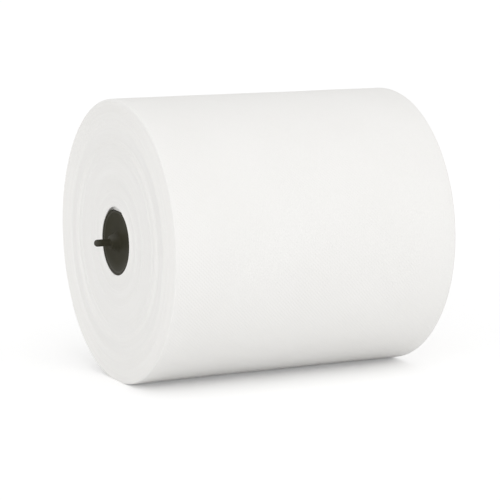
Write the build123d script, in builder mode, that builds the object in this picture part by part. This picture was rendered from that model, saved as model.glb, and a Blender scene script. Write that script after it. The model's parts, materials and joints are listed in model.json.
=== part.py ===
from build123d import *
import os
from math import cos, radians, sin, sqrt

os.makedirs("parts", exist_ok=True)

# A roll of paper hand towel wound on a cardboard core, with a moulded plug pressed into one end
# of the core. The roll lies on its side. X runs along it, from the plug's end to the open end,
# Y runs to the back and Z up. The origin is on the surface that the roll lies on, under the
# middle of its whole length. Sizes are in millimetres and degrees.

# Wound paper
web_width = 210.0          # width of the towel, which is the length of the roll
roll_diameter = 193.0      # over the last turn
tail_step = 0.4            # height of the cut edge where the last turn ends
tail_angle = -35.0         # where it ends, up from the level at the back of the roll
rest_flat_width = 22.0     # flat that the soft roll has settled on
end_edge_bevel = 0.8       # softness of the edges round both ends
turn_line_pitch = 15.0     # from one turn to the next of the winding line on the ends
turn_line_depth = 0.3
turn_line_inset = 7.0      # bare paper inside the first turn of that line and outside the last

# Cardboard core
core_bore_diameter = 39.0
core_wall = 1.5
core_edge_chamfer = 0.4
core_winding_gap = 0.1     # between the core and the first turn of paper

# Plug: a flange, with a dished face inside a raised rim
flange_overhang = 1.7      # reach of the flange past the outside of the core
flange_thickness = 2.6
flange_gap = 0.15          # between the flange and the paper round it
rim_width = 1.4
rim_height = 0.6           # of the rim above the edge of the dish
rim_bevel = 0.45
dish_depth = 1.3           # from the front of the rim to the floor of the dish
flat_depth = 2.2           # of the flat on the edge of the flange
flat_angle = 3.0           # of that flat, from the top towards the front

# Plug: the spindle pin on its boss
pin_diameter = 4.8
pin_reach = 15.5           # past the end of the roll
pin_root_flare = 0.6
boss_height = 5.6          # above the floor of the dish
boss_shoulder = 1.9        # from the pin out to the top edge of the boss
boss_flare = 2.2           # from the top edge of the boss out to its foot

# Plug: the shank inside the core, with crush ribs outside and webs round a hub inside
shank_length = 22.0        # behind the flange
shank_wall = 1.6
shank_gap = 0.1            # between the shank and the untouched bore
shank_lead_chamfer = 0.8
rib_count = 8
rib_width = 1.6
rib_bite = 0.35            # how far the crush ribs press the cardboard back
rib_gap = 0.05             # between a rib and the cardboard that it has pressed back
rib_lead = 5.0             # bare shank ahead of the ribs
swell_run_out = 0.6        # pressed cardboard past the leading end of the shank
stiffener_count = 6
stiffener_thickness = 1.2
stiffener_depth = 12.0
hub_wall = 1.5             # round the hole that cores out the root of the pin
hub_core_diameter = 2.4
hub_core_depth = 12.5

# Nick round the flat of the flange, where the innermost turns are pushed back
nick_radius = 19.5
nick_offset = 4.5          # from the axis of the roll to the middle of the nick
nick_angle = -3.0          # from the top towards the front
nick_depth = 2.4

# Places along the roll
overall_length = web_width + pin_reach
plug_end = pin_reach - overall_length / 2
open_end = plug_end + web_width
pin_tip = plug_end - pin_reach
dish_floor = plug_end + dish_depth
boss_top = dish_floor - boss_height
flange_back = plug_end + flange_thickness
shank_end = flange_back + shank_length
swell_end = shank_end + swell_run_out
hub_end = flange_back + stiffener_depth

# Radii from the axis
roll_radius = roll_diameter / 2
core_bore_radius = core_bore_diameter / 2
core_outer_radius = core_bore_radius + core_wall
paper_bore_radius = core_outer_radius + core_winding_gap
flange_radius = core_outer_radius + flange_overhang
flange_seat_radius = flange_radius + flange_gap
rim_inner_radius = flange_radius - rim_width
flat_reach = flange_radius - flat_depth
swell_radius = core_bore_radius + rib_bite
rib_radius = swell_radius - rib_gap
shank_radius = core_bore_radius - shank_gap
shank_inner_radius = shank_radius - shank_wall
pin_radius = pin_diameter / 2
boss_top_radius = pin_radius + boss_shoulder
boss_foot_radius = boss_top_radius + boss_flare
hub_core_radius = hub_core_diameter / 2
hub_radius = hub_core_radius + hub_wall

# The axis of the roll, and the plane along it whose own Y is the radius
axis_height = sqrt(roll_radius**2 - (rest_flat_width / 2) ** 2)
roll_axis = Axis((0, 0, axis_height), (1, 0, 0))
along = Plane(origin=(0, 0, axis_height), x_dir=(1, 0, 0), z_dir=(0, -1, 0))


def across(x):
    """The plane square to the roll at x, with its own X to the back and its own Y up."""
    return Plane(origin=(x, 0, axis_height), x_dir=(0, 1, 0), z_dir=(1, 0, 0))


def beyond_the_flat(gap, mode):
    """In a sketch across the roll, all that lies past the flat on the flange and this gap."""
    with PolarLocations(flat_reach + gap, 1, start_angle=90 + flat_angle):
        Rectangle(flange_radius, 2 * flange_radius, align=(Align.MIN, Align.CENTER), mode=mode)


def half_turn(climb, side):
    """The plane through the tail and the axis for one half turn of a winding.

    A winding that climbs this much in each turn is drawn as half turns about two centres, side
    -1 and side 1, on the line through the tail. The one runs up from the tail and the other
    down, and they meet flush opposite the tail.
    """
    outward = Vector(0, cos(radians(tail_angle)), sin(radians(tail_angle)))
    square = Vector(0, -sin(radians(tail_angle)), cos(radians(tail_angle)))
    centre = Vector(0, 0, axis_height) + outward * (side * climb / 4)
    return Plane(origin=centre, x_dir=(1, 0, 0), z_dir=square), Axis(centre, (-side, 0, 0))


def corner(sketch, x, y):
    """The corner of a sketch that lies at (x, y)."""
    return sketch.vertices().sort_by_distance((x, y, 0))[0]


# The wound paper is one body. Its outline is one turn of the outermost sheet, which climbs by
# the tail's step, so the cut edge stands proud along the line where the last turn ends.
with BuildPart() as paper_roll:
    for side in (-1, 1):
        section, centre_line = half_turn(tail_step, side)
        with BuildSketch(section) as sheet_section:
            with Locations((plug_end, 0)):
                Rectangle(web_width, roll_radius + side * tail_step / 4, align=Align.MIN)
            chamfer(sheet_section.vertices().group_by(Axis.Y)[-1], end_edge_bevel)
        revolve(axis=centre_line, revolution_arc=180)

    # The flat that the roll lies on
    with BuildSketch(Plane.XY):
        Rectangle(2 * overall_length, 2 * roll_diameter)
    extrude(amount=-roll_radius, mode=Mode.SUBTRACT)

    # A line of the winding, which shows on both ends as a fine spiral groove
    first_turn = flange_seat_radius + turn_line_inset + turn_line_pitch / 4
    last_turn = roll_radius - end_edge_bevel - turn_line_inset
    turn_count = int((last_turn - first_turn) / turn_line_pitch)
    groove_side = turn_line_depth * sqrt(2)
    for side in (-1, 1):
        section, centre_line = half_turn(turn_line_pitch, side)
        with BuildSketch(section):
            for turn in range(turn_count):
                reach = first_turn + (turn + (side + 1) / 4) * turn_line_pitch
                with Locations((plug_end, reach), (open_end, reach)):
                    Rectangle(groove_side, groove_side, rotation=45)
        revolve(axis=centre_line, revolution_arc=180, mode=Mode.SUBTRACT)

    # The hole that the core fills, and the seat of the flange at its plug end
    with BuildSketch(across(plug_end)):
        Circle(paper_bore_radius)
    extrude(amount=web_width, mode=Mode.SUBTRACT)
    with BuildSketch(across(plug_end)):
        Circle(flange_seat_radius)
        beyond_the_flat(flange_gap, Mode.SUBTRACT)
    extrude(amount=flange_thickness, mode=Mode.SUBTRACT)

    # The nick
    with BuildSketch(across(plug_end)):
        with PolarLocations(nick_offset, 1, start_angle=90 + nick_angle):
            Circle(nick_radius)
    extrude(amount=nick_depth, mode=Mode.SUBTRACT)

# The core is a tube that ends under the flange at one end and level with the paper at the
# other. Round the shank its wall is pressed back by the ribs.
with BuildPart() as core_tube:
    with BuildSketch(across(flange_back)):
        Circle(core_outer_radius)
        Circle(core_bore_radius, mode=Mode.SUBTRACT)
    extrude(amount=open_end - flange_back)
    chamfer(core_tube.edges().group_by(Axis.X)[-1], core_edge_chamfer)
    with BuildSketch(across(flange_back)):
        Circle(swell_radius)
    extrude(amount=swell_end - flange_back, mode=Mode.SUBTRACT)

# The plug is one moulding. Its round form is turned from a half section: domed pin, boss, dish,
# rim, flange, shank, and the hollow behind them with a hub in its middle.
with BuildPart() as spindle_plug:
    with BuildSketch(along) as half_section:
        with BuildLine():
            RadiusArc((pin_tip, 0), (pin_tip + pin_radius, pin_radius), pin_radius)
            Polyline(
                (pin_tip + pin_radius, pin_radius),
                (boss_top, pin_radius),
                (boss_top, boss_top_radius),
                (dish_floor, boss_foot_radius),
                (plug_end + rim_height, rim_inner_radius),
                (plug_end, rim_inner_radius),
                (plug_end, flange_radius),
                (flange_back, flange_radius),
                (flange_back, shank_radius),
                (shank_end, shank_radius),
                (shank_end, shank_inner_radius),
                (flange_back, shank_inner_radius),
                (flange_back, hub_radius),
                (hub_end, hub_radius),
                (hub_end, 0),
                (pin_tip, 0),
            )
        make_face()
        chamfer(corner(half_section, boss_top, pin_radius), pin_root_flare)
        chamfer(corner(half_section, plug_end, rim_inner_radius), rim_bevel)
        chamfer(corner(half_section, plug_end, flange_radius), rim_bevel)
        chamfer(corner(half_section, shank_end, shank_radius), shank_lead_chamfer)
    revolve(axis=roll_axis)

    # The flat on the edge of the flange
    with BuildSketch(across(plug_end)):
        beyond_the_flat(0, Mode.ADD)
    extrude(amount=flange_thickness, mode=Mode.SUBTRACT)

    # Crush ribs that grip the core
    rib_root_radius = shank_radius - shank_wall / 2
    with BuildSketch(across(flange_back)):
        with PolarLocations(rib_root_radius, rib_count):
            Rectangle(rib_radius - rib_root_radius, rib_width, align=(Align.MIN, Align.CENTER))
    extrude(amount=shank_length - rib_lead)

    # Webs from the hub to the shank
    web_inner_radius = hub_radius - hub_wall / 2
    web_outer_radius = shank_inner_radius + shank_wall / 2
    with BuildSketch(across(hub_end)):
        with PolarLocations(web_inner_radius, stiffener_count):
            Rectangle(
                web_outer_radius - web_inner_radius,
                stiffener_thickness,
                align=(Align.MIN, Align.CENTER),
            )
    extrude(amount=-stiffener_depth)

    # The hole that cores out the root of the pin
    with BuildSketch(across(hub_end)):
        Circle(hub_core_radius)
    extrude(amount=-hub_core_depth, mode=Mode.SUBTRACT)

paper_roll.part.label = "paper_roll"
core_tube.part.label = "core_tube"
spindle_plug.part.label = "spindle_plug"
export_step(paper_roll.part, "parts/paper_roll.step")
export_step(core_tube.part, "parts/core_tube.step")
export_step(spindle_plug.part, "parts/spindle_plug.step")
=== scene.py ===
# %% [markdown]
# # A roll of paper hand towel, lying on its side
#
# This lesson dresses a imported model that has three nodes: the wound paper, the cardboard core
# that it is wound on, and the dark moulded plug in one end of the core. A construction model
# has the right sizes, but its edges are crisp and its paper is a plain block. Here each piece
# is made again with the softness and the fine detail of the real one, and then it gets a
# finish, a floor, light and a camera.
#
# Everything is in metres, in the model's own frame. X runs along the roll, with the plug at the
# low end, Y runs to the back and Z up, and the roll lies on z = 0.

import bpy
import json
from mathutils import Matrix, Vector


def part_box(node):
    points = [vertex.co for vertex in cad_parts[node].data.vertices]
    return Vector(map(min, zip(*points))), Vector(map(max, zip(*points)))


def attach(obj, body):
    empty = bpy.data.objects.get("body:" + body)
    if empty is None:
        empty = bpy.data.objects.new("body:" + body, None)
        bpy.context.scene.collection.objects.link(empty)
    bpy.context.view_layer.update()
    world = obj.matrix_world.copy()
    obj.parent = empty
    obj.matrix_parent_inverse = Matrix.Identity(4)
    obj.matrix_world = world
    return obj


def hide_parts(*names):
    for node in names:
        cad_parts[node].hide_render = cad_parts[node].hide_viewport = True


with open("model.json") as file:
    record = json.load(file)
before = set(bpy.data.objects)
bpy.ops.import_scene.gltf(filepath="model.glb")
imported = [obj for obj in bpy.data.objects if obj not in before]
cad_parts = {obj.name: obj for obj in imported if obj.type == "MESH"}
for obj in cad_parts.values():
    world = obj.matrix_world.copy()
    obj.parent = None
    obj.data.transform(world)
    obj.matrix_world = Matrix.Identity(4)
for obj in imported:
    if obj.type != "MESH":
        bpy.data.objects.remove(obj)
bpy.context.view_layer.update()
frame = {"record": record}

# %% [markdown]
# ## Where everything is
#
# A piece that replaces a node has to stay where the node is. So the main sizes aren't typed in
# again: they are read off the nodes' boxes and off the record's mounts, which hold the radius
# of the pin and of the bore. The smaller sizes come later, each with the piece that needs it.

# %% Take the main sizes from the frame
import json
import random
from math import cos, hypot, pi, radians, sin

import bmesh
import bpy
from mathutils import Vector

MM = 0.001

paper_low, paper_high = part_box("paper_roll")
core_low, core_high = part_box("core_tube")
plug_low, plug_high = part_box("spindle_plug")
mounts = {mount["name"]: mount for mount in frame["record"]["mounts"]}

plug_end = paper_low.x
open_end = paper_high.x
axis_height = (core_low.z + core_high.z) / 2
roll_radius = paper_high.z - axis_height
core_outer_radius = (core_high.z - core_low.z) / 2
core_bore_radius = mounts["core_bore"]["dims"]["r_mm"] * MM
flange_radius = (plug_high.y - plug_low.y) / 2
pin_radius = mounts["spindle_pin"]["dims"]["r_mm"] * MM
print("roll", round((open_end - plug_end) / MM, 2), "long, radius", round(roll_radius / MM, 2))

# %% [markdown]
# ## Four habits for modelling with operators
#
# An operator acts on all that is selected, so a new piece starts with everything deselected.
# A plane that is merged to its centre leaves one point, and extruding that point along draws
# any line that is wanted. Most of this roll was wound, turned or moulded round, so most of its
# pieces are such a line, spun about the axis of the roll. Afterwards edges are chosen by where
# they are, here by their place along the roll and their distance from its axis, because a
# script has no mouse to pick them with.

# %% Draw a line, spin it and pick what lies somewhere
axis_point = Vector((0, 0, axis_height))
spin_steps = 96
fine_tolerance = 0.001 * MM


def trace(name, points):
    """A new piece that is a line of edges through these points, left in edit mode."""
    bpy.ops.object.select_all(action="DESELECT")
    bpy.ops.mesh.primitive_plane_add(size=MM)
    piece = bpy.context.object
    piece.name = name
    bpy.ops.object.mode_set(mode="EDIT")
    bpy.ops.mesh.select_mode(type="VERT")
    bpy.ops.mesh.merge(type="CENTER")
    bpy.ops.transform.translate(value=points[0])
    for start, end in zip(points, points[1:]):
        bpy.ops.mesh.extrude_region_move(TRANSFORM_OT_translate={"value": end - start})
    bpy.ops.mesh.select_all(action="SELECT")
    return piece


def distance_from_axis(point):
    """How far a point is from the axis of the roll."""
    return hypot(point.y, point.z - axis_height)


def pick(kind, test):
    """Selects each VERT, EDGE or FACE of the piece in edit mode whose corners all pass the test."""
    bpy.ops.mesh.select_mode(type=kind)
    bpy.ops.mesh.select_all(action="DESELECT")
    mesh = bmesh.from_edit_mesh(bpy.context.object.data)
    for element in {"VERT": mesh.verts, "EDGE": mesh.edges, "FACE": mesh.faces}[kind]:
        corners = [element] if kind == "VERT" else element.verts
        if all(test(corner.co) for corner in corners):
            element.select_set(True)
    bmesh.update_edit_mesh(bpy.context.object.data)


def close_skin(gap=fine_tolerance):
    """Merges doubled points, fills what is open, and turns the faces of the piece outwards."""
    bpy.ops.mesh.select_mode(type="VERT")
    bpy.ops.mesh.select_all(action="SELECT")
    bpy.ops.mesh.remove_doubles(threshold=gap)
    bpy.ops.mesh.fill_holes(sides=0)
    bpy.ops.mesh.select_all(action="SELECT")
    bpy.ops.mesh.normals_make_consistent(inside=False)


def turned(name, outline):
    """A piece turned from the line through these (x, radius) points, left in edit mode."""
    piece = trace(name, [Vector((x, radius, axis_height)) for x, radius in outline])
    bpy.ops.mesh.spin(steps=spin_steps, angle=2 * pi, center=axis_point, axis=(1, 0, 0))
    close_skin()
    return piece


# %% [markdown]
# ## Soft edges, holes and ribs
#
# Edges on real things are never quite sharp, and a moulding, a paper edge and a cut tube are
# each soft in their own way. A bevel on the ring of edges that is wanted gives that softness.
# Where a shape has a hole or an added rib, a Boolean modifier does what a drill or a mould
# does, and applying it leaves one closed skin.

# %% Round a ring of edges, drill a hole and add a rib
ring_reach = 0.02 * MM


def round_rings(rings, width, segments=3):
    """Rounds the edges that run round the piece at these (x, radius) places."""

    def on_a_ring(point):
        reach = distance_from_axis(point)
        return any(hypot(point.x - x, reach - radius) < ring_reach for x, radius in rings)

    pick("EDGE", on_a_ring)
    bpy.ops.mesh.bevel(offset=width, segments=segments, affect="EDGES")


def combine(piece, operation, tool):
    """Cuts the tool out of the piece, DIFFERENCE, or adds it, UNION, and clears the tool away."""
    bpy.ops.object.mode_set(mode="OBJECT")
    bpy.ops.object.select_all(action="DESELECT")
    bpy.context.view_layer.objects.active = piece
    piece.select_set(True)
    modifier = piece.modifiers.new("combine", "BOOLEAN")
    modifier.operation = operation
    modifier.solver = "EXACT"
    modifier.object = tool
    bpy.ops.object.modifier_apply(modifier=modifier.name)
    bpy.data.objects.remove(tool)


# %% [markdown]
# ## Finishing a piece
#
# A finished piece is shaded smooth except at its real edges. Then it takes the place of its
# node in the frame. Its skin has to be closed, with every edge between two faces, because only
# a closed skin has a volume. So the open edges and the volume are printed each time.

# %% Shade a piece, put it in its node's place and measure it


def finish_piece(piece, node, smooth_angle=35):
    """Shades the piece, puts it in the place of its node and tells how large it is."""
    if bpy.context.mode != "OBJECT":
        bpy.ops.object.mode_set(mode="OBJECT")
    bpy.ops.object.select_all(action="DESELECT")
    bpy.context.view_layer.objects.active = piece
    piece.select_set(True)
    bpy.ops.object.shade_smooth_by_angle(angle=radians(smooth_angle))
    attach(piece, "root")
    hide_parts(node)
    piece.data.calc_loop_triangles()
    mesh = bmesh.new()
    mesh.from_mesh(piece.data)
    open_edges = sum(not edge.is_manifold for edge in mesh.edges)
    print(piece.name, len(piece.data.loop_triangles), "triangles, open edges", open_edges)
    print(piece.name, "volume in ml", round(mesh.calc_volume(signed=True) * 1e6, 1))
    mesh.free()


# %% [markdown]
# ## The wound paper: one line across all the turns
#
# Some four hundred turns of thin towel make this roll, and their edges are what the two ends
# are. They could be drawn on with a bump map, but then the ends would be flat from the side.
# So the turns are modelled: the line across an end goes up and down once for each turn, and
# each modelled turn stands for two or three real ones. The web also wanders a little sideways
# while it is wound. Each turn therefore lies slightly above or below the last, which gives the
# soft bands that the end of a real roll has. The line starts two turns inside the core's hole,
# which is drilled later.

# %% Draw the line across the turns at one end
turn_pitch = 0.5 * MM
turn_relief = 0.1 * MM
web_wander = 0.035 * MM
web_memory = 0.9
edge_softness = 1.2 * MM
edge_points = 5
core_winding_gap = 0.1 * MM
turns_to_drill_off = 2

paper_bore_radius = core_outer_radius + core_winding_gap
first_turn = paper_bore_radius - turns_to_drill_off * turn_pitch
turn_count = int((roll_radius - edge_softness - first_turn) / turn_pitch)
last_turn = first_turn + turn_count * turn_pitch


def across_turns(end, inward, seed):
    """The (x, radius) points over the edges of all the turns at one end, from the core out."""
    draw = random.Random(seed)
    wander = 0.0
    line = []
    for turn in range(turn_count):
        radius = first_turn + turn * turn_pitch
        wander = web_memory * wander + draw.uniform(-web_wander, web_wander)
        line.append((end + inward * turn_relief, radius))
        line.append((end + inward * wander, radius + turn_pitch / 2))
    return line


def soft_edge(end, inward):
    """The (x, radius) points of the rounded edge between that end and the side of the roll."""
    centre_x = end + inward * (turn_relief + edge_softness)
    quarter = [step / edge_points * pi / 2 for step in range(edge_points + 1)]
    return [
        (centre_x - inward * edge_softness * cos(turn), last_turn + edge_softness * sin(turn))
        for turn in quarter
    ]


plug_end_line = across_turns(plug_end, 1, seed=3) + soft_edge(plug_end, 1)
open_end_line = across_turns(open_end, -1, seed=8) + soft_edge(open_end, -1)
print(turn_count, "turns of", turn_pitch / MM, "mm, radius outside them", last_turn / MM)

# %% [markdown]
# ## The wound paper: one turn of a spiral
#
# A winding climbs by its own thickness in each turn, so it isn't a stack of rings. Spinning the
# line once round while it climbs by one turn gives all the turns at once: each of them ends
# where the next one begins, and merging the points there joins them. An operator can't spin and
# climb, but two half turns about two centres, a quarter of the climb to each side of the axis,
# do the same. The line starts in the half plane where the real sheet ends, low at the back of
# the roll, and there the step of the cut edge is left over, as it is on the real roll.

# %% Spin the turns
tail_angle = radians(-35)
side_parts = 24
merge_gap = 2.2 * web_wander

outward = Vector((0, cos(tail_angle), sin(tail_angle)))
side_start, side_radius = plug_end_line[-1]
side_end = open_end_line[-1][0]
side_line = [
    (side_start + (side_end - side_start) * part / side_parts, side_radius)
    for part in range(1, side_parts)
]
section = plug_end_line + side_line + open_end_line[::-1] + plug_end_line[:1]
paper = trace("wound_paper", [Vector((x, 0, axis_height)) + outward * r for x, r in section])
for side in (-1, 1):
    bpy.ops.mesh.spin(
        steps=spin_steps // 2,
        angle=pi,
        center=axis_point + outward * (side * turn_pitch / 4),
        axis=(-1, 0, 0),
    )
close_skin(gap=merge_gap)
print("paper points", len(bmesh.from_edit_mesh(paper.data).verts))

# %% [markdown]
# ## The wound paper: soft and heavy
#
# Paper gives. The side of the roll is never a true cylinder, so a Displace modifier with a slow
# cloud texture moves it in and out by a tenth of a millimetre or two, which only shows where
# light grazes it. Then the roll settles on the floor: a bisect at z = 0 leaves the flat that it
# lies on. The operator takes any point within a tenth of a millimetre for one on the plane and
# leaves it there, so it is given a finer tolerance.

# %% Soften the paper and let it settle
waviness = 0.5 * MM
wave_length = 70 * MM

bpy.ops.object.mode_set(mode="OBJECT")
clouds = bpy.data.textures.new("slow_waves", "CLOUDS")
clouds.noise_scale = wave_length
waves = paper.modifiers.new("waves", "DISPLACE")
waves.texture = clouds
waves.texture_coords = "LOCAL"
waves.strength = waviness
bpy.ops.object.modifier_apply(modifier=waves.name)

bpy.ops.object.mode_set(mode="EDIT")
bpy.ops.mesh.select_all(action="SELECT")
bpy.ops.mesh.bisect(
    plane_co=(0, 0, 0),
    plane_no=(0, 0, 1),
    clear_inner=True,
    use_fill=True,
    threshold=fine_tolerance,
)
points = [point.co for point in bmesh.from_edit_mesh(paper.data).verts]
flat = [point.y for point in points if abs(point.z) < fine_tolerance]
print("flat that the roll lies on", round((max(flat) - min(flat)) / MM, 1), "mm wide")

# %% [markdown]
# ## The wound paper: drilled
#
# The paper needs the hole for the core and, at its plug end, the seat of the plug's flange.
# Both come off one turned tool that is taken away from the paper. The edge of the flange has a
# flat at the top, tilted a little to the front, so the seat has one too: a block is first taken
# away from the tool. The plug will need the same block.

# %% Drill the hole and the seat
seat_gap = 0.15 * MM
flat_depth = 2.2 * MM
flat_tilt = radians(3)
past_end = 5 * MM

flange_back = core_low.x
seat_radius = flange_radius + seat_gap
flat_reach = flange_radius - flat_depth


def block_past_flat(gap):
    """A block that takes up all that is past the flange's flat and this gap from it."""
    bpy.ops.object.mode_set(mode="OBJECT")
    bpy.ops.object.select_all(action="DESELECT")
    across_flat = Vector((0, -sin(flat_tilt), cos(flat_tilt)))
    middle = axis_point + across_flat * (flat_reach + gap + flange_radius / 2)
    bpy.ops.mesh.primitive_cube_add(
        size=1,
        location=(plug_end, middle.y, middle.z),
        rotation=(flat_tilt, 0, 0),
        scale=(4 * past_end, 2 * flange_radius, flange_radius),
    )
    bpy.ops.object.transform_apply(location=True, rotation=True, scale=True)
    return bpy.context.object


bpy.ops.object.mode_set(mode="OBJECT")
drill = turned(
    "drill",
    [
        (plug_end - past_end, 0),
        (plug_end - past_end, seat_radius),
        (flange_back, seat_radius),
        (flange_back, paper_bore_radius),
        (open_end + past_end, paper_bore_radius),
        (open_end + past_end, 0),
    ],
)
combine(drill, "DIFFERENCE", block_past_flat(seat_gap))
combine(paper, "DIFFERENCE", drill)
print("points of the drilled paper", len(paper.data.vertices))

# %% [markdown]
# ## The wound paper: a nick over the plug
#
# In the photograph a light crescent lies over the dark disc, where its flat is. There the
# innermost turns are pushed back a little. The tool for that is a wide round one with a soft
# edge, set a few millimetres over the axis, so that it cuts past the seat only at the top.

# %% Press in the nick
nick_radius = 19.5 * MM
nick_offset = 4.5 * MM
nick_tilt = radians(3)
nick_depth = 2.4 * MM
nick_softness = 0.5 * MM

nick_middle = axis_point + nick_offset * Vector((0, sin(nick_tilt), cos(nick_tilt)))
bpy.ops.object.select_all(action="DESELECT")
bpy.ops.mesh.primitive_cylinder_add(
    vertices=spin_steps,
    radius=nick_radius,
    depth=nick_depth + past_end,
    location=(plug_end + (nick_depth - past_end) / 2, nick_middle.y, nick_middle.z),
    rotation=(0, pi / 2, 0),
)
nick = bpy.context.object
bpy.ops.object.transform_apply(location=True, rotation=True, scale=True)
bpy.ops.object.mode_set(mode="EDIT")
pick("EDGE", lambda point: point.x > plug_end)
bpy.ops.mesh.bevel(offset=nick_softness, segments=4, affect="EDGES")
combine(paper, "DIFFERENCE", nick)
finish_piece(paper, "paper_roll", smooth_angle=40)

# %% [markdown]
# ## The cardboard core
#
# The core is wound from strips of board that are glued on each other, and then cut. At the open
# end of the roll the cut edge shows the plies. They are real grooves here: the tube is turned
# from its section, with a dip between each ply and the next. At the plug's end the bore is a
# little wider, where the ribs of the plug have pressed the board back.

# %% Turn the core
ply_count = 4
ply_dip = 0.12 * MM
ply_unevenness = 0.1 * MM
ply_margin = 0.2
swell_depth = 0.35 * MM
swell_run_out = 0.6 * MM
lip_softness = 0.25 * MM

swell_radius = core_bore_radius + swell_depth
swell_end = plug_high.x + swell_run_out
lip_start = open_end - lip_softness - ply_unevenness
ply = (core_outer_radius - core_bore_radius) / ply_count

cut = random.Random(5)
cut_edge = []
for layer in range(ply_count):
    crest = open_end - cut.uniform(0, ply_unevenness)
    inner = core_bore_radius + layer * ply
    cut_edge.append((crest, inner + ply_margin * ply))
    cut_edge.append((crest, inner + (1 - ply_margin) * ply))
    if layer < ply_count - 1:
        cut_edge.append((open_end - ply_unevenness - ply_dip, inner + ply))

core = turned(
    "cardboard_core",
    [
        (flange_back, swell_radius),
        (swell_end, swell_radius),
        (swell_end, core_bore_radius),
        (lip_start, core_bore_radius),
        *cut_edge,
        (lip_start, core_outer_radius),
        (flange_back, core_outer_radius),
        (flange_back, swell_radius),
    ],
)
print("core points", len(bmesh.from_edit_mesh(core.data).verts), "with", ply_count, "plies")

# %% [markdown]
# ## The seam in the bore
#
# Down the bore one strip's edge meets the next in a seam that winds along the tube. The groove
# is the path of a small diamond that a Screw modifier winds through the bore. The modifier winds
# about the origin of its own object, so the diamond is drawn round an origin on the axis.

# %% Cut the seam that winds along the bore
strip_pitch = 68 * MM
seam_half_width = 0.3 * MM
seam_turns = 3
seam_inset = 2 * MM

seam_start = Vector((swell_end + seam_inset, core_bore_radius, axis_height))
diamond = [(-1, 0), (0, 1), (1, 0), (0, -1), (-1, 0)]
bpy.ops.object.mode_set(mode="OBJECT")
seam = trace("seam", [seam_start + seam_half_width * Vector((x, y, 0)) for x, y in diamond])
bpy.ops.mesh.remove_doubles(threshold=fine_tolerance)
bpy.ops.transform.translate(value=-axis_point)
bpy.ops.object.mode_set(mode="OBJECT")
seam.location = axis_point
winding = seam.modifiers.new("winding", "SCREW")
winding.axis = "X"
winding.screw_offset = strip_pitch
winding.iterations = seam_turns
winding.steps = spin_steps
winding.render_steps = spin_steps
bpy.ops.object.modifier_apply(modifier=winding.name)
bpy.ops.object.transform_apply(location=True, rotation=False, scale=False)
bpy.ops.object.mode_set(mode="EDIT")
close_skin()
combine(core, "DIFFERENCE", seam)
finish_piece(core, "core_tube")

# %% [markdown]
# ## The moulded plug
#
# The plug is the one dark thing on a white roll, so the eye goes to it first. It is an injection
# moulding: a flange with a dished face and a raised rim, a boss in the middle, and the round
# pin that turns in the dispenser. Behind the flange, inside the core, are a hollow shank with
# crush ribs, and webs round a hub. Its line is drawn once from the tip of the pin to the hub
# and turned.

# %% Turn the plug
rim_width = 1.4 * MM
rim_height = 0.6 * MM
dish_depth = 1.3 * MM
boss_height = 5.6 * MM
boss_shoulder = 1.9 * MM
boss_flare = 2.2 * MM
shank_gap = 0.1 * MM
shank_wall = 1.6 * MM
hub_radius = 2.7 * MM
hub_depth = 12 * MM

pin_tip = plug_low.x
shank_end = plug_high.x
dish_floor = plug_end + dish_depth
boss_top = dish_floor - boss_height
rim_foot = plug_end + rim_height
hub_end = flange_back + hub_depth
boss_top_radius = pin_radius + boss_shoulder
boss_foot_radius = boss_top_radius + boss_flare
rim_inner_radius = flange_radius - rim_width
shank_radius = core_bore_radius - shank_gap
shank_inner_radius = shank_radius - shank_wall

plug = turned(
    "moulded_plug",
    [
        (pin_tip, 0),
        (pin_tip, pin_radius),
        (boss_top, pin_radius),
        (boss_top, boss_top_radius),
        (dish_floor, boss_foot_radius),
        (rim_foot, rim_inner_radius),
        (plug_end, rim_inner_radius),
        (plug_end, flange_radius),
        (flange_back, flange_radius),
        (flange_back, shank_radius),
        (shank_end, shank_radius),
        (shank_end, shank_inner_radius),
        (flange_back, shank_inner_radius),
        (flange_back, hub_radius),
        (hub_end, hub_radius),
        (hub_end, 0),
    ],
)
print("plug points", len(bmesh.from_edit_mesh(plug.data).verts))

# %% [markdown]
# ## The edges of the plug
#
# Each ring of edges gets the radius that such a mould gives: a dome at the tip of the pin,
# large at the foot of the boss, small at the rim. Last the flat is cut on the edge of the
# flange, which is the only part of the plug that reaches out that far.

# %% Round the edges of the plug and cut its flat
pin_dome = 0.9 * pin_radius
pin_root_radius = 0.6 * MM
boss_edge_radius = 0.45 * MM
boss_foot_fillet = 1.2 * MM
rim_foot_fillet = 0.25 * MM
rim_edge_radius = 0.45 * MM
shank_lead = 0.7 * MM
shank_mouth_radius = 0.3 * MM

round_rings([(pin_tip, pin_radius)], pin_dome, segments=6)
round_rings([(boss_top, pin_radius)], pin_root_radius, segments=4)
round_rings([(boss_top, boss_top_radius)], boss_edge_radius, segments=4)
round_rings([(dish_floor, boss_foot_radius)], boss_foot_fillet, segments=4)
round_rings([(rim_foot, rim_inner_radius)], rim_foot_fillet)
round_rings([(plug_end, rim_inner_radius), (plug_end, flange_radius)], rim_edge_radius)
round_rings([(shank_end, shank_radius)], shank_lead)
round_rings([(shank_end, shank_inner_radius)], shank_mouth_radius)
combine(plug, "DIFFERENCE", block_past_flat(0))
print("plug points", len(plug.data.vertices), "with its edges rounded")

# %% [markdown]
# ## The ribs and webs of the plug
#
# The ribs and the webs are modelled once and copied round. The spin operator does that too:
# with dupli it leaves copies of what is selected in place of a skin between them. Each bar
# reaches a little into the walls that it stands on, so that the Boolean has something to join.

# %% Add the crush ribs, the webs and the hole in the hub
rib_count = 8
rib_reach = 17 * MM
rib_width = 1.6 * MM
rib_gap = 0.05 * MM
web_count = 6
web_thickness = 1.2 * MM
web_setback = 0.3 * MM
bar_softness = 0.2 * MM
overlap = 0.5 * MM
hub_core_radius = 1.2 * MM
hub_core_depth = 12.5 * MM
past_hub = 1 * MM


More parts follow.
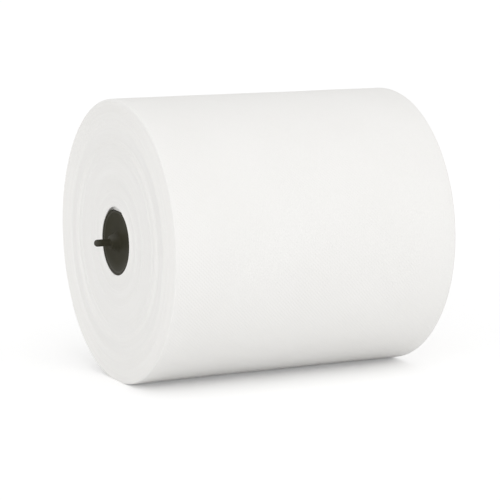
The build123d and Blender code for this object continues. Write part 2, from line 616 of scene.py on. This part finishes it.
def set_of_bars(name, count, length, inner, outer, width):
    """Equal bars round the axis, from just inside the flange and from inner to outer radius."""
    middle_radius = (inner + outer) / 2
    bpy.ops.object.mode_set(mode="OBJECT")
    bpy.ops.object.select_all(action="DESELECT")
    bpy.ops.mesh.primitive_cube_add(
        size=1,
        location=(flange_back - overlap + length / 2, 0, axis_height + middle_radius),
        scale=(length, width, outer - inner),
    )
    bars = bpy.context.object
    bars.name = name
    bpy.ops.object.transform_apply(location=True, rotation=True, scale=True)
    bpy.ops.object.mode_set(mode="EDIT")
    pick("EDGE", lambda point: point.z > axis_height + middle_radius)
    bpy.ops.mesh.bevel(offset=bar_softness, segments=2, affect="EDGES")
    bpy.ops.mesh.select_all(action="SELECT")
    bpy.ops.mesh.spin(
        steps=count - 1,
        angle=2 * pi * (count - 1) / count,
        dupli=True,
        center=axis_point,
        axis=(1, 0, 0),
    )
    return bars


crush_ribs = set_of_bars(
    "crush_ribs",
    count=rib_count,
    length=overlap + rib_reach,
    inner=shank_radius - shank_wall / 2,
    outer=swell_radius - rib_gap,
    width=rib_width,
)
combine(plug, "UNION", crush_ribs)
webs = set_of_bars(
    "webs",
    count=web_count,
    length=overlap + hub_depth - web_setback,
    inner=hub_radius - overlap,
    outer=shank_inner_radius + overlap,
    width=web_thickness,
)
combine(plug, "UNION", webs)
hub_drill = turned(
    "hub_drill",
    [
        (hub_end - hub_core_depth, 0),
        (hub_end - hub_core_depth, hub_core_radius),
        (hub_end + past_hub, hub_core_radius),
        (hub_end + past_hub, 0),
    ],
)
combine(plug, "DIFFERENCE", hub_drill)
finish_piece(plug, "spindle_plug")

# %% [markdown]
# ## Writing finishes as formulas
#
# A finish is a graph of nodes, and built by hand in code it is hard to read. Here one small
# class stands for a number that varies over a surface. It knows plus, minus, times and the
# rest, and each sum quietly adds its Math node, so a pattern reads like its formula.

# %% A class for numbers that vary over a surface


class Signal:
    """A number that varies over a surface, to be used in sums."""

    def __init__(self, finish, socket):
        self.finish = finish
        self.socket = socket

    def math(self, operation, *others):
        """What a Math node makes of this number and the others."""
        inputs = dict(enumerate((self, *others)))
        return self.finish.node("ShaderNodeMath", {"operation": operation}, inputs)

    def __add__(self, other):
        return self.math("ADD", other)

    def __mul__(self, other):
        return self.math("MULTIPLY", other)

    def __sub__(self, other):
        return self.math("SUBTRACT", other)

    def __rsub__(self, other):
        return self * -1 + other

    def __truediv__(self, other):
        return self.math("DIVIDE", other)

    def __pow__(self, other):
        return self.math("POWER", other)

    __radd__ = __add__
    __rmul__ = __mul__

    def sine(self):
        """The sine of this number, in radians."""
        return self.math("SINE")

    def swing(self, amount):
        """A number from 0 to 1 made to swing about 0, by half this amount to each side."""
        return (self - 0.5) * amount

    def ramp(self, low, high):
        """0 where this number is at low or below, 1 where it is at high or above."""
        return self.finish.node(
            "ShaderNodeMapRange",
            {"interpolation_type": "SMOOTHSTEP"},
            {"Value": self, "From Min": low, "From Max": high},
        )


# %% [markdown]
# ## One method for all other nodes
#
# A second class holds a material. One of its methods adds any node: it takes the node's type,
# its settings and its inputs, and the rest of the methods are short names for the nodes that
# the finishes use most. Colours are mixed by a Mix node, because a Math node would turn them
# grey.

# %% A class for finishes


class Finish:
    """A material, built node by node."""

    def __init__(self, name):
        self.material = bpy.data.materials.new(name)
        self.material.use_nodes = True
        self.tree = self.material.node_tree
        self.tree.nodes.clear()

    def node(self, kind, settings=None, inputs=None, output=0):
        """Adds a node with these settings and inputs, values or links, and returns an output."""
        node = self.tree.nodes.new(kind)
        for name, value in (settings or {}).items():
            setattr(node, name, value)
        for key, value in (inputs or {}).items():
            socket = self.find(node.inputs, key)
            if isinstance(value, Signal):
                self.tree.links.new(value.socket, socket)
            else:
                socket.default_value = value
        return None if output is None else Signal(self, self.find(node.outputs, output))

    @staticmethod
    def find(sockets, key):
        """The socket with that number or identifier."""
        if isinstance(key, int):
            return sockets[key]
        return next(socket for socket in sockets if socket.identifier == key)

    def place(self):
        """The surface's own place: all of it, and its x, y and height above the roll's axis."""
        spot = self.node("ShaderNodeTexCoord", output="Object")
        parts = [self.node("ShaderNodeSeparateXYZ", None, {"Vector": spot}, axis) for axis in "XYZ"]
        return spot, parts[0], parts[1], parts[2] - axis_height

    def noise(self, spot, waves_per_metre, detail=2, roughness=0.5):
        """Cloudy noise from 0 to 1."""
        inputs = {
            "Vector": spot,
            "Scale": waves_per_metre,
            "Detail": detail,
            "Roughness": roughness,
        }
        return self.node("ShaderNodeTexNoise", {"noise_dimensions": "3D"}, inputs)

    def stretched_noise(self, x, y, z, detail):
        """Cloudy noise from 0 to 1, with one wave to each unit of these three numbers."""
        stretched = self.node("ShaderNodeCombineXYZ", None, {"X": x, "Y": y, "Z": z})
        return self.noise(stretched, 1, detail)

    def mix(self, amount, first, second):
        """A colour between the first, at 0, and the second, at 1."""
        inputs = {"Factor_Float": amount, "A_Color": first, "B_Color": second}
        settings = {"data_type": "RGBA", "clamp_factor": True}
        return self.node("ShaderNodeMix", settings, inputs, "Result_Color")

    def bump(self, height, distance):
        """A normal tilted by a height from 0 to 1 that stands for so many metres."""
        return self.node("ShaderNodeBump", None, {"Height": height, "Distance": distance})

    def surface(self, **inputs):
        """Ends the graph in a Principled shader with these inputs, named with underscores."""
        named = {name.replace("_", " "): value for name, value in inputs.items()}
        shader = self.node("ShaderNodeBsdfPrincipled", None, named)
        self.node("ShaderNodeOutputMaterial", None, {"Surface": shader}, output=None)

    def cover(self, piece):
        """Puts the finish all over the piece."""
        piece.data.materials.clear()
        piece.data.materials.append(self.material)
        print(self.material.name, "covers", piece.name, "with", len(self.tree.nodes), "nodes")


# %% [markdown]
# ## The finish of the paper
#
# The towel is off-white, matt and a little uneven. Its side and its ends look different, one
# the face of the sheet and the other its cut edges, and yet they are one finish, because the
# paper is one piece. A mask that is 1 on the ends and 0 on the side tells the two apart. It is
# made from the place along the roll. The distance from the axis and the angle round it are
# worked out here too, for the patterns that follow the turns.

# %% Tell the ends of the paper from its side
mask_inner_depth = 1.5 * MM
mask_outer_depth = 0.6 * MM

towel = Finish("towel_tissue")
spot, along, across, up = towel.place()
radius = (across * across + up * up) ** 0.5
angle = up.math("ARCTAN2", across)
reach_along = (along - (plug_end + open_end) / 2).math("ABSOLUTE")
half_length = (open_end - plug_end) / 2
on_an_end = reach_along.ramp(half_length - mask_inner_depth, half_length - mask_outer_depth)
on_the_side = 1 - on_an_end
print("mask of the paper's ends", len(towel.tree.nodes), "nodes")

# %% [markdown]
# The sheet was pressed between embossing rolls while it was soft. So the side has rows of
# shallow dots, a few millimetres apart, which follow the sheet round the roll: two sines, one
# along the roll and one round it, are multiplied. On the ends the tone changes from turn to
# turn, so the noise there is stretched along the turns and fine across them.

# %% Finish the paper
dot_pitch = 2.6 * MM
emboss_depth = 0.05 * MM
fibre_depth = 0.03 * MM
waves_from_end_to_end = 20
clean_paper = (0.925, 0.918, 0.902, 1)
shaded_paper = (0.83, 0.82, 0.797, 1)


def noise_along_turns(waves_per_metre, waves_per_radian, detail):
    """Noise that is fine across the turns, stretched along them and different on each end."""
    return towel.stretched_noise(
        radius * waves_per_metre,
        angle * waves_per_radian,
        along * waves_from_end_to_end,
        detail,
    )


dots_round = round(2 * pi * roll_radius / dot_pitch / 2) * 2
dots = (along * (2 * pi / dot_pitch)).sine() * (angle * dots_round).sine()
fibres = towel.noise(spot, waves_per_metre=1100, detail=4, roughness=0.65)
clouding = towel.noise(spot, waves_per_metre=22)
turns = noise_along_turns(waves_per_metre=900, waves_per_radian=1.2, detail=4)
bands = noise_along_turns(waves_per_metre=160, waves_per_radian=0.4, detail=2)

side_tone = clouding.swing(0.35) + fibres.swing(0.35) + 0.3
end_tone = turns.swing(0.5) + bands.swing(0.5) + fibres.swing(0.4) + 0.35
side_height = dots.ramp(-0.2, 0.9) * (emboss_depth / fibre_depth) + fibres
end_height = turns * 1.5 + fibres
tone = side_tone * on_the_side + end_tone * on_an_end
height = side_height * on_the_side + end_height * on_an_end
towel.surface(
    Base_Color=towel.mix(tone, clean_paper, shaded_paper),
    Roughness=fibres.swing(0.1) + 0.92,
    Normal=towel.bump(height, fibre_depth),
    Specular_IOR_Level=0.25,
)
towel.cover(paper)
print("embossed dots round the roll", dots_round)

# %% [markdown]
# ## The finish of the board
#
# Core board is made of recycled fibre. It is greyish brown, with darker and lighter flecks that
# lie along the strip, and the cut edge is lighter and rougher than the faces.

# %% Finish the core
flecks_per_metre = 900
flecks_across = 260
flecks_per_turn = 61
cut_mask_depth = 0.5 * MM
cut_mask_margin = 0.2 * MM
cut_paleness = 0.5
fuzz_depth = 0.08 * MM
light_board = (0.52, 0.42, 0.31, 1)
dark_board = (0.33, 0.255, 0.18, 1)
cut_board = (0.62, 0.53, 0.42, 1)

board = Finish("recycled_board")
spot, along, across, up = board.place()
turns_round = up.math("ARCTAN2", across) * (1 / (2 * pi))
flecks = board.stretched_noise(
    along * flecks_per_metre - turns_round * flecks_per_turn,
    across * flecks_across,
    up * flecks_across,
    detail=5,
)
blotches = board.noise(spot, waves_per_metre=90, detail=3)
fuzz = board.noise(spot, waves_per_metre=2600, detail=3, roughness=0.7)
on_the_cut = along.ramp(open_end - cut_mask_depth, open_end - cut_mask_margin)
tone = flecks.swing(1.5) + blotches.swing(0.6) + 0.5
face_colour = board.mix(tone, light_board, dark_board)
board.surface(
    Base_Color=board.mix(on_the_cut * cut_paleness, face_colour, cut_board),
    Roughness=fuzz.swing(0.2) + 0.85,
    Normal=board.bump(fuzz * 0.6 + flecks * 0.6, fuzz_depth),
    Specular_IOR_Level=0.3,
)
board.cover(core)

# %% [markdown]
# ## The finish of the plug
#
# The plug is a warm black plastic with the satin of a spark-eroded mould. The grain is far finer
# than the parts, so it mostly blurs the shine. Handling has polished it unevenly, and that shows as
# faint cloudy changes of gloss. Highlights are painted into its colour where the shoulder of the
# boss faces up, on the tip of the pin and along the raised rim, and painted light lies in the
# lowest part of the dish. Each of these places is a mask, made from the place along the roll, the
# distance from its axis and the height over it.

# %% Mask the places of the plug where highlights and light are painted
mask_softness = 0.6 * MM
boss_foot_margin = 0.5 * MM
tip_length = 5 * MM
dish_ring_width = 8 * MM
rim_mask_start = 1.8 * MM
rim_mask_end = 0.9 * MM
# Strengths of the painted highlights on the boss, the pin's tip and the rim, and of the painted
# light low in the dish.
boss_highlight_paint, dish_light_paint, tip_highlight_paint, rim_highlight_paint = 0.7, 0.45, 0.65, 0.5

plastic = Finish("warm_black_plastic")
spot, along, across, up = plastic.place()
grain = plastic.noise(spot, waves_per_metre=3200)
handling = plastic.noise(spot, waves_per_metre=140, detail=4, roughness=0.6)
radius = (across * across + up * up) ** 0.5
facing_up = up / radius
outside_the_core = 1 - along.ramp(dish_floor, flange_back)
off_the_pin = radius.ramp(pin_radius, pin_radius + mask_softness)
on_the_boss = off_the_pin - radius.ramp(boss_top_radius, boss_foot_radius + boss_foot_margin)
on_the_tip = 1 - along.ramp(pin_tip, pin_tip + tip_length)
off_the_middle = radius.ramp(rim_inner_radius - dish_ring_width, rim_inner_radius)
low_in_the_dish = off_the_middle * (facing_up * -1).ramp(0.3, 1)
near_the_rim = radius.ramp(rim_inner_radius - rim_mask_start, rim_inner_radius - rim_mask_end)
on_the_rim = near_the_rim - radius.ramp(rim_inner_radius, rim_inner_radius + mask_softness)

# One mask of painted light: highlights on the upward face of the boss, the pin's tip and the rim,
# and painted light low in the dish.
painted_light = on_the_boss * facing_up.ramp(0.1, 0.8) * boss_highlight_paint + on_the_tip * tip_highlight_paint
painted_light = painted_light + low_in_the_dish * dish_light_paint + on_the_rim * rim_highlight_paint
painted_light = painted_light * outside_the_core * (grain.swing(0.8) + 0.8)
print("masks of the plug", len(plastic.tree.nodes), "nodes")

# %% [markdown]
# The masks only change the colour, so the highlights on the boss, the pin's tip and the rim, and
# the light low in the dish, are painted. The shine itself is kept very low: in the photograph the
# disc mirrors nothing, although the boss and the rim face every way.

# %% Finish the plug
grain_depth = 0.02 * MM
dark_plastic = (0.032, 0.0305, 0.02, 1)
light_plastic = (0.044, 0.041, 0.028, 1)
# A paler plastic colour that paints the highlights and the light low in the dish.
painted_light_plastic = (0.1, 0.097, 0.085, 1)

bare = plastic.mix(handling, dark_plastic, light_plastic)
plastic.surface(
    # The bare plastic turns to the painted-light colour where the mask of painted highlights and
    # light is.
    Base_Color=plastic.mix(painted_light, bare, painted_light_plastic),
    Roughness=handling.swing(0.22) + grain.swing(0.1) + 0.5,
    Normal=plastic.bump(grain, grain_depth),
    Specular_IOR_Level=0.02,
)
plastic.cover(plug)

# %% [markdown]
# ## The floor
#
# The photograph shows the roll on pure white, with only its own soft shadow. A floor that is
# lit until it is white would light the roll too much from below. So the floor is a plain pale
# surface that takes the shadow, and it also glows a little, but only towards the camera and in
# reflections, where Light Path says so.

# %% Make the floor
floor_size = 60
floor_reflectance = 0.95
floor_glow = 0.2


def seen_directly(finish):
    """1 for rays of the camera, of reflections and through glass, and 0 for light's own rays."""
    seen = None
    for ray in ("Is Camera Ray", "Is Glossy Ray", "Is Transmission Ray"):
        part = finish.node("ShaderNodeLightPath", output=ray)
        seen = part if seen is None else seen.math("MAXIMUM", part)
    return seen


bpy.ops.object.select_all(action="DESELECT")
bpy.ops.mesh.primitive_plane_add(size=floor_size)
floor = bpy.context.object
floor.name = "floor"
pale = Finish("pale_floor")
floor_white = (floor_reflectance,) * 3 + (1,)
matt = pale.node("ShaderNodeBsdfDiffuse", None, {"Color": floor_white})
glow = pale.node("ShaderNodeEmission", None, {"Strength": seen_directly(pale) * floor_glow})
both = pale.node("ShaderNodeAddShader", None, {0: matt, 1: glow})
pale.node("ShaderNodeOutputMaterial", None, {"Surface": both}, output=None)
pale.cover(floor)

# %% [markdown]
# ## The room
#
# The world does the same as the floor: it is white to look at, and softer as a light.

# %% Make the world
ambient = 0.74


class Surroundings(Finish):
    """The world's own graph of nodes."""

    def __init__(self, name):
        self.world = bpy.data.worlds.new(name)
        self.world.use_nodes = True
        self.tree = self.world.node_tree
        self.tree.nodes.clear()


room = Surroundings("white_room")
brightness = seen_directly(room) * (1 - ambient) + ambient
sky = room.node("ShaderNodeBackground", None, {"Color": (1, 1, 1, 1), "Strength": brightness})
room.node("ShaderNodeOutputWorld", None, {"Surface": sky}, output=None)
bpy.context.scene.world = room.world
print("the room lights the roll at a level of", ambient)

# %% [markdown]
# ## Light
#
# The roll is brightest where its side faces the front and a little up, and only slightly darker
# above, below and on the end. So there is a large soft light low on the left, which reaches both
# the side and the end, two weaker ones from the front and from high above, and a bright room
# all round. With lights as broad as these, the only dark shadow is right under the roll.

# %% Set the lights
light_spread = radians(60)


def way_to(azimuth, elevation):
    """The way from the roll to that side of it, from angles in degrees, with 0, 0 in front."""
    turn, rise = radians(azimuth), radians(elevation)
    return Vector((sin(turn) * cos(rise), -cos(turn) * cos(rise), sin(rise)))


def looking_back(way):
    """The rotation of a light or a camera that stands that way and looks back at the roll."""
    return way.to_track_quat("Z", "Y").to_euler()


def soft_light(name, azimuth, elevation, level):
    """A broad light from that side. A level of 1 would alone light white as white."""
    way = way_to(azimuth, elevation)
    bpy.ops.object.select_all(action="DESELECT")
    bpy.ops.object.light_add(type="SUN", location=axis_point + way, rotation=looking_back(way))
    light = bpy.context.object
    light.name = name
    light.data.angle = light_spread
    light.data.energy = pi * level
    print("light", name, "from", (azimuth, elevation), "at a level of", level)


soft_light("left", azimuth=-50, elevation=8, level=0.22)
soft_light("top", azimuth=5, elevation=60, level=0.09)
soft_light("front", azimuth=5, elevation=8, level=0.11)

# %% [markdown]
# ## Camera and view
#
# The outline of the roll and of the plug in the photograph fix the camera. It stands well back
# with a long lens, a little above the roll and to its left.

# %% Set the camera
view_azimuth = -26.78
view_elevation = 8.817
camera_place = Vector((-691.2, -1378.4, 322.7)) * MM
lens_mm = 161.5

bpy.ops.object.select_all(action="DESELECT")
bpy.ops.object.camera_add(
    location=camera_place,
    rotation=looking_back(way_to(view_azimuth, view_elevation)),
)
camera = bpy.context.object
camera.name = "camera"
camera.data.lens = lens_mm
bpy.context.scene.camera = camera
bpy.context.scene.view_settings.view_transform = "Standard"
print("camera at", tuple(round(part, 4) for part in camera.location))
